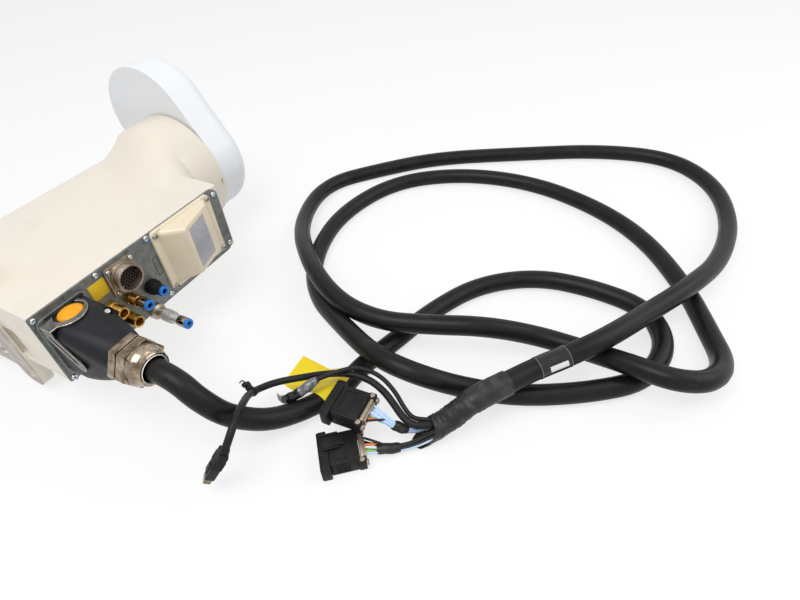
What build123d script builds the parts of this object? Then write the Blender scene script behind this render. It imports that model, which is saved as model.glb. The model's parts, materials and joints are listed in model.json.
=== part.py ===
from build123d import *
from math import cos, hypot, pi, radians, sin, tan
import os

# Base and swivel head of a small six axis robot arm, lying on its side with its cable on the floor.
# Millimetres. X points out of the connector panel, Y runs along the swivel axis from the mounting
# face towards the head, Z is up. The origin is the swivel axis at the mounting face.

FLOOR_Z = -106.0

# Base casting
BODY_BACK_X = 145.0
BODY_FRONT_X = -58.0
BODY_HALF_Z = 46.0
BODY_START_Y = 3.0
BODY_END_Y = 262.0
SHOULDER_START_Y = 222.0
TOWER_START_Y = 288.0
TOWER_END_Y = 334.0
TOWER_R = 80.0

# Mounting flange
FLANGE_T = 14.0
FLANGE_HALF_X = 66.0
FLANGE_HALF_Z = 72.0
LUG_X = 52.0
LUG_BOLT_Z = 80.0
LUG_R = 18.0
BOLT_HOLE_R = 5.5
POCKET_X = (67.0, 91.0)
POCKET_Z = (-38.0, 6.0)
POCKET_DEPTH = 22.0

# Swivel head
HEAD_START_Y = 336.5
HEAD_END_Y = 392.0
HEAD_R = 76.0
HEAD_TIP_R = 74.0
HEAD_REACH = 76.0
HEAD_LEAN = 30.0
ARM_FLANGE_R = 52.0
ARM_FLANGE_T = 6.0
ARM_BOLT_PCD = 84.0
ARM_BOLT_R = 3.4
SPIGOT_R = 40.0
SPIGOT_DEPTH = 12.0
SPIGOT_GAP = 0.08
SEAL_R = 73.0
SEAL_T = 2.2

# Connector panel
PANEL_T = 2.0
PANEL_END_Y = 260.0
PANEL_HALF_Z = 46.0
PANEL_CORNER_R = 13.0
PANEL_FACE_X = BODY_BACK_X + PANEL_T

# Battery box
BOX_MID_Y = 197.5
BOX_MID_Z = 4.0
BOX_LONG = 92.0
BOX_WIDE = 83.0
BOX_HEIGHT = 28.0
BOX_RIM_T = 4.0
BOX_TOP_SHIFT_Y = 3.5

# Signal connector
SIGNAL_Y = 105.0
SIGNAL_Z = 23.0
SIGNAL_PITCH = 29.4
SIGNAL_R = 15.5

# Power plug hood and gland
HOOD_Y = 34.0
HOOD_START_X = PANEL_FACE_X + 3.0
HOOD_END_X = 225.0
GLAND_END_X = 262.0
BUTTON_X = 165.0
BUTTON_Y = 33.5
BUTTON_LONG = 27.0
BUTTON_WIDE = 19.0
BUTTON_TOP_Z = 39.5
BUTTON_GAP = 0.35
BUTTON_TRAVEL = 3.0
HOOD_WIDE_Y = 54.0
HOOD_WIDE_Z = 74.0
LEVER_T = 2.0

# Cables
CABLE_D = 23.6
LEAD_D = 7.0
SPARE_D = 5.0
BRANCH_D = 12.0
SHRINK_D = 30.0


def write(shape, node):
    export_step(shape, f"parts/{node}.step")


def disc(radius, start_x, end_x, y, z):
    """A round piece that stands out of the panel, along X."""
    plane = Plane(origin=(start_x, y, z), x_dir=(0, 1, 0), z_dir=(1, 0, 0))
    return extrude(plane * Circle(radius), end_x - start_x)


def ring(outer, inner, start_x, end_x, y, z):
    plane = Plane(origin=(start_x, y, z), x_dir=(0, 1, 0), z_dir=(1, 0, 0))
    return extrude(plane * (Circle(outer) - Circle(inner)), end_x - start_x)


def hex_piece(across_flats, start_x, end_x, y, z):
    plane = Plane(origin=(start_x, y, z), x_dir=(0, 1, 0), z_dir=(1, 0, 0))
    return extrude(plane * RegularPolygon(across_flats / 2, 6, major_radius=False), end_x - start_x)


def turned(points, y, z):
    """A piece turned on a lathe about an axis along X. Points are (x, radius)."""
    plane = Plane(origin=(0, y, z), x_dir=(1, 0, 0), z_dir=(0, -1, 0))
    face = make_face(plane * Polyline(*points, close=True))
    return revolve(face, Axis((0, y, z), (1, 0, 0)))


def base_casting():
    depth = BODY_BACK_X - BODY_FRONT_X
    mid_x = (BODY_BACK_X + BODY_FRONT_X) / 2
    start = Plane(origin=(mid_x, BODY_START_Y, 0), x_dir=(1, 0, 0), z_dir=(0, 1, 0))
    outline = Rectangle(depth, 2 * BODY_HALF_Z)
    outline = fillet(outline.vertices().sort_by(Axis.X)[:2], 16)
    outline = fillet(outline.vertices().sort_by(Axis.X)[-2:], 3)
    body = extrude(start * outline, BODY_END_Y - BODY_START_Y)
    low = Plane(origin=(mid_x, SHOULDER_START_Y, 0), x_dir=(1, 0, 0), z_dir=(0, 1, 0))
    high = Plane(origin=(0, TOWER_START_Y, 0), x_dir=(1, 0, 0), z_dir=(0, 1, 0))
    shoulder = loft([low * RectangleRounded(depth - 6, 2 * BODY_HALF_Z - 2, 14), high * Circle(TOWER_R)])
    tower = extrude(high * Circle(TOWER_R), TOWER_END_Y - TOWER_START_Y)
    body = body + (shoulder + tower)
    face = Plane(origin=(0, 0, 0), x_dir=(1, 0, 0), z_dir=(0, 1, 0))
    plate = RectangleRounded(2 * FLANGE_HALF_X, 2 * FLANGE_HALF_Z, 12)
    for side_x in (-1, 1):
        for side_z in (-1, 1):
            plate += Pos(side_x * LUG_X, side_z * LUG_BOLT_Z) * Circle(LUG_R)
            plate += Pos(side_x * LUG_X, side_z * LUG_BOLT_Z / 2) * Rectangle(2 * LUG_R, LUG_BOLT_Z)
    flange = extrude(face * plate, FLANGE_T)
    body = body + flange
    for side_x in (-1, 1):
        for side_z in (-1, 1):
            hole = Pos(side_x * LUG_X, FLANGE_T / 2, side_z * LUG_BOLT_Z)
            body -= hole * Rot(90, 0, 0) * Cylinder(BOLT_HOLE_R, 2 * FLANGE_T)
    pocket_at = ((POCKET_X[0] + POCKET_X[1]) / 2, BODY_START_Y, (POCKET_Z[0] + POCKET_Z[1]) / 2)
    pocket = Plane(origin=pocket_at, x_dir=(1, 0, 0), z_dir=(0, 1, 0))
    opening = RectangleRounded(POCKET_X[1] - POCKET_X[0], POCKET_Z[1] - POCKET_Z[0], 6)
    body -= extrude(pocket * opening, POCKET_DEPTH)
    for side_x in (-1, 1):
        body -= Pos(26 * side_x, 0, -49) * Rot(90, 0, 0) * Cylinder(9, 6)
    eyelet = Pos(TOWER_R, 329.5, -1.7) * Box(6, 3, 9)
    bearing = Plane(origin=(0, TOWER_END_Y - SPIGOT_DEPTH - 1, 0), x_dir=(1, 0, 0), z_dir=(0, 1, 0))
    seat = extrude(bearing * Circle(SPIGOT_R + SPIGOT_GAP), SPIGOT_DEPTH + 2)
    return body - eyelet - seat


def swivel_seal():
    start = Plane(origin=(0, TOWER_END_Y, 0), x_dir=(1, 0, 0), z_dir=(0, 1, 0))
    return extrude(start * (Circle(SEAL_R) - Circle(SEAL_R - 8)), SEAL_T)


def screws(places, radius, height, base_x, socket_r):
    """Cap screws along X. Places are (y, z)."""
    made = []
    for y, z in places:
        head = disc(radius, base_x, base_x + height, y, z)
        made.append(head - disc(socket_r, base_x + height - 1.2, base_x + height + 1, y, z))
    return Compound(made)


def connector_panel():
    plane = Plane(origin=(BODY_BACK_X, PANEL_END_Y / 2 + 1, 0), x_dir=(0, 1, 0), z_dir=(1, 0, 0))
    long = PANEL_END_Y - 2
    sketch = plane * Rectangle(long, 2 * PANEL_HALF_Z)
    panel = extrude(sketch, PANEL_T)
    far = panel.edges().filter_by(Axis.X).sort_by(Axis.Y)[-2:]
    panel = fillet(far, PANEL_CORNER_R)
    near = panel.edges().filter_by(Axis.X).sort_by(Axis.Y)[:2]
    return fillet(near, 3)


def battery_box_cover():
    foot = PANEL_FACE_X
    plane = Plane(origin=(foot, BOX_MID_Y, BOX_MID_Z), x_dir=(0, 1, 0), z_dir=(1, 0, 0))
    rim = extrude(plane * RectangleRounded(BOX_LONG, BOX_WIDE, 8), BOX_RIM_T)
    top_y = BOX_MID_Y + BOX_TOP_SHIFT_Y
    top = Plane(origin=(foot + BOX_HEIGHT, top_y, BOX_MID_Z), x_dir=(0, 1, 0), z_dir=(1, 0, 0))
    lower = Plane(origin=(foot + BOX_RIM_T, BOX_MID_Y, BOX_MID_Z), x_dir=(0, 1, 0), z_dir=(1, 0, 0))
    wall = RectangleRounded(BOX_LONG - 12, BOX_WIDE - 10, 10)
    dome = loft([lower * wall, top * RectangleRounded(44, 70, 7)])
    dome = fillet(dome.faces().sort_by(Axis.X)[-1].edges(), 3)
    return rim + dome


def signal_connector():
    plane = Plane(origin=(PANEL_FACE_X, SIGNAL_Y, SIGNAL_Z), x_dir=(0, 1, 0), z_dir=(1, 0, 0))
    flange = extrude(plane * RectangleRounded(38, 38, 4), 3)
    shell = ring(SIGNAL_R, SIGNAL_R - 2, PANEL_FACE_X + 3, PANEL_FACE_X + 14.5, SIGNAL_Y, SIGNAL_Z)
    collar = ring(SIGNAL_R + 1.5, SIGNAL_R - 2, PANEL_FACE_X + 3, PANEL_FACE_X + 7, SIGNAL_Y, SIGNAL_Z)
    for lip_x in (8.5, 10.7, 12.9):
        start = PANEL_FACE_X + lip_x
        shell += ring(SIGNAL_R + 0.6, SIGNAL_R - 2, start, start + 1.2, SIGNAL_Y, SIGNAL_Z)
    insert = disc(SIGNAL_R - 2, PANEL_FACE_X + 3, PANEL_FACE_X + 6, SIGNAL_Y, SIGNAL_Z)
    half = SIGNAL_PITCH / 2
    corners = [(SIGNAL_Y + y, SIGNAL_Z + z) for y in (-half, half) for z in (-half, half)]
    return flange + shell + collar, insert, screws(corners, 2.6, 2.2, PANEL_FACE_X + 3, 1.2)


def air_sockets():
    made = []
    for y, z, long in ((76, -1, 22), (84, -19, 27)):
        socket = disc(7, PANEL_FACE_X, PANEL_FACE_X + long, y, z)
        socket += hex_piece(16, PANEL_FACE_X, PANEL_FACE_X + 8, y, z)
        made.append(socket - disc(4.8, PANEL_FACE_X + 6, PANEL_FACE_X + long + 1, y, z))
    return Compound(made)


def collar(start_x, y, z):
    """The blue release collar of a push-in fitting."""
    sleeve = ring(6, 3.1, start_x, start_x + 3.5, y, z)
    return sleeve


def straight_push_in(y, z):
    brass = disc(7, PANEL_FACE_X, PANEL_FACE_X + 16, y, z) + hex_piece(14, PANEL_FACE_X, PANEL_FACE_X + 7, y, z)
    nickel = disc(6.2, PANEL_FACE_X + 16, PANEL_FACE_X + 30, y, z)
    nickel += hex_piece(13, PANEL_FACE_X + 18, PANEL_FACE_X + 22, y, z)
    nickel -= disc(3.1, PANEL_FACE_X + 20, PANEL_FACE_X + 31, y, z)
    return brass, nickel, collar(PANEL_FACE_X + 30, y, z)


def black_push_in(y, z):
    body = turned([(PANEL_FACE_X, 0), (PANEL_FACE_X, 8), (PANEL_FACE_X + 3, 9), (PANEL_FACE_X + 9, 8.5),
                   (PANEL_FACE_X + 14, 7), (PANEL_FACE_X + 20, 6.8), (PANEL_FACE_X + 20, 0)], y, z)
    body -= disc(3.1, PANEL_FACE_X + 12, PANEL_FACE_X + 21, y, z)
    return body, collar(PANEL_FACE_X + 20, y, z)


def silencer_stack(y, z):
    base = disc(6, PANEL_FACE_X, PANEL_FACE_X + 12, y, z)
    tee = base + turned([(PANEL_FACE_X + 10, 0), (PANEL_FACE_X + 10, 7), (PANEL_FACE_X + 13, 9.5),
                         (PANEL_FACE_X + 21, 9.5), (PANEL_FACE_X + 24, 7), (PANEL_FACE_X + 28, 6),
                         (PANEL_FACE_X + 28, 0)], y, z)
    barrel = turned([(PANEL_FACE_X + 28, 0), (PANEL_FACE_X + 28, 6), (PANEL_FACE_X + 30, 7),
                     (PANEL_FACE_X + 46, 6.2), (PANEL_FACE_X + 54, 5.5), (PANEL_FACE_X + 54, 0)], y, z)
    for rib in range(4):
        rib_x = PANEL_FACE_X + 32 + 3.5 * rib
        barrel += disc(7.4, rib_x, rib_x + 1.4, y, z)
    nickel = disc(6.2, PANEL_FACE_X + 54, PANEL_FACE_X + 65, y, z)
    nickel -= disc(3.1, PANEL_FACE_X + 57, PANEL_FACE_X + 66, y, z)
    return tee, barrel, nickel, collar(PANEL_FACE_X + 65, y, z)


def hood_section(x, long, wide, corner):
    plane = Plane(origin=(x, HOOD_Y, 0), x_dir=(0, 1, 0), z_dir=(1, 0, 0))
    return plane * RectangleRounded(long, wide, corner)


def plug_frame():
    """The metal frame that the power plug latches into."""
    plane = Plane(origin=(PANEL_FACE_X, HOOD_Y, 0), x_dir=(0, 1, 0), z_dir=(1, 0, 0))
    return extrude(plane * RectangleRounded(58, 78, 8), HOOD_START_X - PANEL_FACE_X)


def button_face():
    plane = Plane(origin=(BUTTON_X, BUTTON_Y, 0), x_dir=(0, 1, 0), z_dir=(0, 0, 1))
    return plane


def plug_hood():
    box_end_x = HOOD_START_X + 26
    block = hood_section(HOOD_START_X, HOOD_WIDE_Y, HOOD_WIDE_Z, 13)
    hood = extrude(block, box_end_x - HOOD_START_X)
    hood += loft([
        hood_section(box_end_x, HOOD_WIDE_Y, HOOD_WIDE_Z, 13),
        hood_section(box_end_x + 24, 50, 64, 17),
        hood_section(HOOD_END_X, 42, 44, 20),
    ])
    pocket = Ellipse(BUTTON_LONG / 2 + BUTTON_GAP, BUTTON_WIDE / 2 + BUTTON_GAP)
    pocket_floor = BUTTON_TOP_Z - 9 - BUTTON_TRAVEL
    return hood - extrude(button_face() * Pos(0, 0, pocket_floor) * pocket, 30)


def release_button():
    face = button_face() * Pos(0, 0, BUTTON_TOP_Z - 8.5) * Ellipse(BUTTON_LONG / 2, BUTTON_WIDE / 2)
    button = extrude(face, 8.5)
    return chamfer(button.edges().sort_by(Axis.Z)[-1], 1.5)


def locking_lever():
    """The sheet metal lever: a ring round the button, then a loop that leans down the hood's side."""
    top_z = HOOD_WIDE_Z / 2
    side_y = HOOD_Y - HOOD_WIDE_Y / 2
    round_face = Pos(-2.5, 2.5) * Circle(20) - Pos(-1, 1.5) * Ellipse(BUTTON_LONG / 2 + 2, BUTTON_WIDE / 2 + 3)
    lever = extrude(button_face() * Pos(0, 0, top_z) * round_face, LEVER_T)
    lever -= Pos(HOOD_START_X - 4, BUTTON_Y, top_z) * Box(20, 60, 10)
    strip_end_y = BUTTON_Y - BUTTON_LONG / 2 - 3
    strip_y = (side_y - LEVER_T + strip_end_y) / 2
    lever += Pos(BUTTON_X, strip_y, top_z + LEVER_T / 2) * Box(16, strip_end_y - side_y + LEVER_T, LEVER_T)
    lever += Pos(BUTTON_X, side_y - LEVER_T / 2, top_z - 3) * Box(16, LEVER_T, 10)
    high = (162.0, 29.0)
    low = (188.0, -2.0)
    lean = (low[0] - high[0], low[1] - high[1])
    reach = hypot(*lean)
    middle = ((high[0] + low[0]) / 2, side_y, (high[1] + low[1]) / 2)
    side = Plane(origin=middle, x_dir=(lean[0], 0, lean[1]), z_dir=(0, -1, 0))
    loop = SlotCenterToCenter(reach, 15) - SlotCenterToCenter(reach - 8, 6)
    return lever + extrude(side * loop, LEVER_T)


def gland():
    body = hex_piece(46, HOOD_END_X, HOOD_END_X + 9, HOOD_Y, 0)
    body += disc(20.5, HOOD_END_X + 9, HOOD_END_X + 10.5, HOOD_Y, 0)
    start = HOOD_END_X + 10.5
    nut_end = start + 23.5
    nut = hex_piece(45, start, start + 10.5, HOOD_Y, 0)
    nut += turned([(start + 10.5, 0), (start + 10.5, 22), (start + 15, 21.3), (start + 20, 19.2), (nut_end, 16),
                   (nut_end, 0)], HOOD_Y, 0)
    seal = turned([(nut_end, 0), (nut_end, 15), (GLAND_END_X, 14), (GLAND_END_X, 0)], HOOD_Y, 0)
    return body, nut, seal


def swivel_head():
    lean = radians(HEAD_LEAN)
    tip = (-HEAD_REACH * sin(lean), HEAD_REACH * cos(lean))
    face = Plane(origin=(0, HEAD_START_Y, 0), x_dir=(1, 0, 0), z_dir=(0, -1, 0))
    outline = face * make_hull([Circle(HEAD_R).edge(), (Pos(tip[0], tip[1]) * Circle(HEAD_TIP_R)).edge()])
    head = extrude(outline, HEAD_START_Y - HEAD_END_Y)
    far = head.faces().sort_by(Axis.Y)[-1]
    head = fillet(far.edges(), 20)
    place = Pos(tip[0] * 0.8, HEAD_END_Y, tip[1] * 0.8) * Rot(90, 0, 0)
    head += place * Cylinder(ARM_FLANGE_R, 2 * ARM_FLANGE_T)
    for turn in range(8):
        at = Rot(0, 0, 45 * turn + 22.5) * Pos(ARM_BOLT_PCD / 2, 0, 0)
        head -= place * at * Cylinder(ARM_BOLT_R, 24)
    head -= place * Cylinder(20, 30)
    return head + extrude(face * Circle(SPIGOT_R), HEAD_START_Y - TOWER_END_Y + SPIGOT_DEPTH)


def route_radii(points):
    """Each bend is as large as its two runs allow: 0.45 of the shorter, over tan of half the turn."""
    radii = []
    for before, here, after in zip(points, points[1:], points[2:]):
        first = Vector(*here) - Vector(*before)
        second = Vector(*after) - Vector(*here)
        turn = radians(first.get_angle(second))
        radii.append(0.45 * min(first.length, second.length) / tan(turn / 2))
    return radii


def cord(points, diameter, name):
    radii = route_radii(points)
    path = FilletPolyline(*points, radius=radii)
    start = Plane(origin=path @ 0, z_dir=path % 0)
    tube = sweep(start * Circle(diameter / 2), path)
    expected = pi * diameter ** 2 / 4 * path.length
    print(f"{name}: length {path.length:.0f}, smallest radius {min(radii):.0f}, "
          f"volume ratio {tube.volume / expected:.4f}")
    return tube


LIE = FLOOR_Z + CABLE_D / 2

# From the gland, down to the floor, two and a half loops, then over the earlier turns to the plugs.
MAIN_ROUTE = [
    (GLAND_END_X, HOOD_Y, 0), (287, 34, 0), (309, 34, -20), (326, 46, -54), (350, 80, -88),
    (384, 140, LIE), (387, 185, LIE), (402, 232, LIE), (421, 301, LIE), (455, 370, LIE),
    (518, 416, LIE), (589, 425, LIE), (660, 414, LIE), (691, 361, LIE), (677, 300, LIE),
    (629, 260, LIE), (564, 223, LIE), (506, 204, -90), (459, 181, -65), (409, 184, -64),
    (345, 215, -72), (269, 262, -93), (218, 331, LIE), (195, 437, LIE), (228, 553, LIE),
    (320, 619, LIE), (435, 639, LIE), (546, 610, LIE), (630, 556, LIE), (695, 470, LIE),
    (729, 402, LIE), (748, 351, -86), (735, 304, -70), (701, 285, -64), (660, 291, -67),
    (609, 307, -84), (552, 304, -82), (500, 276, -64), (443, 252, -64), (385, 232, -64),
    (323, 238, -60), (252, 282, -60), (158, 379, -86), (121, 502, LIE), (191, 585, LIE),
    (265, 656, LIE), (390, 722, LIE), (513, 783, LIE), (625, 801, LIE), (699, 742, LIE),
    (731, 644, LIE), (725, 526, -82), (692, 433, -64), (663, 380, -64), (632, 307, -49),
    (600, 266, -54), (574, 241, -61), (557, 216, -61), (541, 192, -61),
]

# The thick sleeve where the cable splits lies over an earlier turn and comes down to the floor.
SHRINK_ROUTE = [MAIN_ROUTE[-1], (531, 177, -61), (519, 163, -73), (506, 150, -86), (496, 140, -91)]

# Two bundles of wires leave the sleeve for the two control plugs.
BRANCH_1_ROUTE = [(501, 135, -91), (493, 127, -95), (480, 116, -99), (464, 105, -97), (449, 95, -95.5)]
BRANCH_2_ROUTE = [(491, 145, -91), (483, 137, -95), (470, 128, -88), (457, 122, -75), (443, 120, -71.5)]

# A braided lead runs from the sleeve, over the cable, to a small plug near the gland.
LEAD_ROUTE = [
    (493, 138, -81), (483, 132, -80), (470, 134, -77), (456, 142, -74), (440, 150, -70),
    (420, 155, -67), (396, 152, -65), (370, 143, -70), (344, 134, -80), (318, 118, -81),
    (306, 99, -71), (311, 80, -54), (327, 62, -40), (341, 42, -31), (350, 24, -36), (350, 12, -48),
]

# A spare lead lies beside it and ends in a wrapped tail.
SPARE_ROUTE = [
    (488, 143, -81), (478, 139, -79), (466, 144, -75), (450, 155, -70), (428, 163, -64),
    (404, 160, -58), (386, 146, -57), (368, 130, -63),
]
TAIL_ROUTE = [SPARE_ROUTE[-1], (352, 116, -73), (338, 108, -83), (326, 104, -92)]


def control_plug(centre, turn, lift):
    """A rectangular plug. Its long side is local X, and the clamp is at +X."""
    body = Box(34, 36, 20)
    body += Pos(-19, 0, 0.5) * Box(10, 44, 21)
    body = chamfer(body.edges().filter_by(Axis.Z).sort_by(Axis.X)[:2], 3)
    body += Pos(-4, 0, 11) * Box(20, 14, 3)
    for step in range(4):
        body -= Pos(-24, -15 + 10 * step, 0) * Box(6, 6, 12)
    clamp = Pos(19, 0, 0) * Box(4, 40, 14)
    clamp += Pos(22, 0, 0) * Box(2, 28, 11)
    ends = [Pos(19.5, side * 17, 0) * Rot(0, 90, 0) * Cylinder(4.5, 9) for side in (-1, 1)]
    clamp = clamp + ends
    place = Pos(*centre) * Rot(0, lift, turn)
    return place * body, place * (clamp - body)


PLUG_1_AT = (428, 82, -95.5)
PLUG_1_TURN = 32
PLUG_2_AT = (418, 118, -71.5)
PLUG_2_TURN = 5


def lead_plug():
    """The small plug on the thin lead leans from the lead's end to the floor."""
    start = Vector(*LEAD_ROUTE[-1])
    along = Vector(-25, -20, -45).normalized()
    place = Plane(origin=start, x_dir=(0.63, -0.78, 0), z_dir=along)
    body = place * Pos(0, 0, 20) * Box(15, 10, 40)
    body += place * Pos(0, 0, 4) * Box(11, 8, 8)
    shell = place * Pos(0, 0, 44) * Box(11, 7, 8)
    shell -= place * Pos(0, 0, 48) * Box(9, 5, 7)
    return body, shell


def yellow_tag():
    face = Plane(origin=(338, 158, FLOOR_Z), x_dir=(0.99, 0.1, 0), z_dir=(0, 0, 1))
    return extrude(face * Rectangle(58, 46), 0.6)


os.makedirs("parts", exist_ok=True)

write(base_casting(), "base_casting")
write(connector_panel(), "connector_panel")
write(battery_box_cover(), "battery_box_cover")
write(plug_frame(), "plug_frame")
write(plug_hood(), "plug_hood")
write(release_button(), "release_button")
write(locking_lever(), "locking_lever")
write(swivel_seal(), "swivel_seal")
write(swivel_head(), "swivel_head")
gland_body, gland_nut, gland_seal = gland()
write(gland_body, "gland_body")
write(gland_nut, "gland_nut")
write(gland_seal, "gland_seal")
shell, insert, shell_screws = signal_connector()
write(shell, "signal_connector_shell")
write(insert, "signal_connector_insert")
write(shell_screws, "signal_connector_screws")
write(air_sockets(), "air_sockets")
push_brass, push_nickel, push_collar = straight_push_in(100, -6)
write(push_brass, "push_in_stem")
write(push_nickel, "push_in_body")
write(push_collar, "push_in_collar")
black_body, black_collar = black_push_in(128, -12)
write(black_body, "black_push_in_body")
write(black_collar, "black_push_in_collar")
tee, barrel, silencer_body, silencer_collar = silencer_stack(112, -31)
write(tee, "air_tee")
write(barrel, "exhaust_silencer")
write(silencer_body, "silencer_push_in")
write(silencer_collar, "silencer_collar")
write(cord(MAIN_ROUTE, CABLE_D, "main cable"), "main_cable")
write(cord(SHRINK_ROUTE, SHRINK_D, "shrink tube"), "shrink_tube")
write(cord(BRANCH_1_ROUTE, BRANCH_D, "wire bundle 1"), "wire_bundle_1")
write(cord(BRANCH_2_ROUTE, BRANCH_D, "wire bundle 2"), "wire_bundle_2")
write(cord(LEAD_ROUTE, LEAD_D, "thin lead"), "thin_lead")
write(cord(SPARE_ROUTE, SPARE_D, "spare lead"), "spare_lead")
plug_1, clamp_1 = control_plug(PLUG_1_AT, PLUG_1_TURN, 0)
write(plug_1, "control_plug_1")
write(clamp_1, "plug_clamp_1")
plug_2, clamp_2 = control_plug(PLUG_2_AT, PLUG_2_TURN, 0)
write(plug_2, "control_plug_2")
write(clamp_2, "plug_clamp_2")
write(cord(TAIL_ROUTE, 8.0, "tail"), "spare_lead_tail")
plug_body, plug_shell = lead_plug()
write(plug_body, "lead_plug")
write(plug_shell, "lead_plug_shell")
write(yellow_tag(), "yellow_tag")
panel_screw_places = [(7, 41.5), (79, 42), (147, 42.5), (252.5, 38), (253.5, -36), (147, -39), (7, -41.5)]
write(screws(panel_screw_places, 3.2, 2.4, PANEL_FACE_X, 1.5), "panel_screws")
box_screw_places = [(156, 40.5), (239, 40.5), (239, -33), (156, -33)]
write(screws(box_screw_places, 3.2, 3.0, PANEL_FACE_X + BOX_RIM_T, 1.5), "battery_box_screws")
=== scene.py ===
import bpy
import bmesh
import json
import math
from mathutils import Matrix, Vector, noise


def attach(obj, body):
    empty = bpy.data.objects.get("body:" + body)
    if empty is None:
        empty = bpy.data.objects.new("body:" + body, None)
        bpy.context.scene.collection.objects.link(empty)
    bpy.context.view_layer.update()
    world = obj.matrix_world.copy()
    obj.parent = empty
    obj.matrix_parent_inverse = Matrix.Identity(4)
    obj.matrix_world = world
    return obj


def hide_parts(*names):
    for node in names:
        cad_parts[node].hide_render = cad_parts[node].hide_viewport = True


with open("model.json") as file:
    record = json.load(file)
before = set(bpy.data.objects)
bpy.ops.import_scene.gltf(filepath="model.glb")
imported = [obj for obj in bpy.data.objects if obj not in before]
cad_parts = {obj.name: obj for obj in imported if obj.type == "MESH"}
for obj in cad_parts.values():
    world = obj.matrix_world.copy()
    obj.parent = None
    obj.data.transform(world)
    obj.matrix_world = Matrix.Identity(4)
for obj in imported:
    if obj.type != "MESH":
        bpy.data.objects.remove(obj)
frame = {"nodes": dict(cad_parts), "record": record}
nodes = frame["nodes"]
slotOf = {row["node"]: row["material_slot"] for row in frame["record"]["subparts"]}
bodyOf = {node: body for body, held in frame["record"]["behaviour"]["bodies"].items() for node in held}


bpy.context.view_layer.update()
floorZ = -0.106
panelX = 0.147


# Helpers for node trees

def addNode(tree, kind, values=None, **settings):
    made = tree.nodes.new(kind)
    for name, value in settings.items():
        setattr(made, name, value)
    for key, value in (values or {}).items():
        made.inputs[key].default_value = value
    return made


def joinAll(tree, joints):
    for source, output, target, entry in joints:
        tree.links.new(source.outputs[output], target.inputs[entry])


def newGroup(name, inputs, outputs, kind="ShaderNodeTree"):
    group = bpy.data.node_groups.new(name, kind)
    for label, form, value in inputs:
        socket = group.interface.new_socket(name=label, in_out="INPUT", socket_type="NodeSocket" + form)
        if value is not None:
            socket.default_value = value
    for label, form in outputs:
        group.interface.new_socket(name=label, in_out="OUTPUT", socket_type="NodeSocket" + form)
    return group, group.nodes.new("NodeGroupInput"), group.nodes.new("NodeGroupOutput")


def useGroup(tree, group, values):
    made = tree.nodes.new("ShaderNodeGroup")
    made.node_tree = group
    for key, value in values.items():
        made.inputs[key].default_value = value
    return made


def rgba(colour):
    return (*colour, 1)


# Patchy colour, uneven gloss and a fine grain, used by nearly every finish
def makeFinishGroup():
    group, given, result = newGroup("patchyFinish", [
        ("Place", "Vector", None), ("Colour", "Color", (0.5, 0.5, 0.5, 1)),
        ("Second Colour", "Color", (0.4, 0.4, 0.4, 1)), ("Patch Scale", "Float", 20.0),
        ("Rough Low", "Float", 0.3), ("Rough High", "Float", 0.5), ("Grain Scale", "Float", 900.0),
    ], [("Colour", "Color"), ("Roughness", "Float"), ("Height", "Float")])
    patches = addNode(group, "ShaderNodeTexNoise", {"Detail": 5.0, "Roughness": 0.6})
    grain = addNode(group, "ShaderNodeTexNoise", {"Detail": 3.0, "Roughness": 0.55})
    mix = addNode(group, "ShaderNodeMix", data_type="RGBA")
    spread = addNode(group, "ShaderNodeMapRange", {"From Min": 0.36, "From Max": 0.64})
    gloss = addNode(group, "ShaderNodeMapRange", {"From Min": 0.3, "From Max": 0.7})
    joinAll(group, [
        (given, "Place", patches, "Vector"), (given, "Patch Scale", patches, "Scale"),
        (given, "Place", grain, "Vector"), (given, "Grain Scale", grain, "Scale"),
        (patches, "Fac", spread, "Value"), (spread, "Result", mix, "Factor"),
        (given, "Colour", mix, 6), (given, "Second Colour", mix, 7), (patches, "Fac", gloss, "Value"),
        (given, "Rough Low", gloss, "To Min"), (given, "Rough High", gloss, "To Max"),
        (mix, 2, result, "Colour"), (gloss, "Result", result, "Roughness"), (grain, "Fac", result, "Height"),
    ])
    return group


# Real dust and marks on most finishes, and painted reflections and highlights on the nickel and the shrink sleeve:
# a second colour that shows only where a broken noise is high
def makeDustAndSheenGroup():
    group, given, result = newGroup("dustAndSheen", [
        ("Place", "Vector", None), ("Colour", "Color", (0.5, 0.5, 0.5, 1)),
        ("Mark And Sheen Colour", "Color", (0.3, 0.3, 0.3, 1)), ("Mark And Sheen Scale", "Float", 30.0),
        ("Threshold", "Float", 0.6), ("Amount", "Float", 0.4),
    ], [("Colour", "Color")])
    broken = addNode(group, "ShaderNodeTexNoise", {"Detail": 8.0, "Roughness": 0.65})
    above = addNode(group, "ShaderNodeMapRange", {"From Max": 0.8, "To Max": 1.0})
    scaled = addNode(group, "ShaderNodeMath", operation="MULTIPLY")
    mix = addNode(group, "ShaderNodeMix", data_type="RGBA")
    joinAll(group, [
        (given, "Place", broken, "Vector"), (given, "Mark And Sheen Scale", broken, "Scale"),
        (broken, "Fac", above, "Value"), (given, "Threshold", above, "From Min"),
        (above, "Result", scaled, 0), (given, "Amount", scaled, 1), (scaled, "Value", mix, "Factor"),
        (given, "Colour", mix, 6), (given, "Mark And Sheen Colour", mix, 7), (mix, 2, result, "Colour"),
    ])
    return group


finishGroup = makeFinishGroup()
dustAndSheenGroup = makeDustAndSheenGroup()


# What a finish has where its row below says nothing else
plainLook = {"patch": 20.0, "grain": 900.0, "bump": 0.1, "bumpDepth": 0.0002, "metal": 0.0, "specular": 0.5,
             "coat": 0.0, "coatRough": 0.2}


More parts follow.
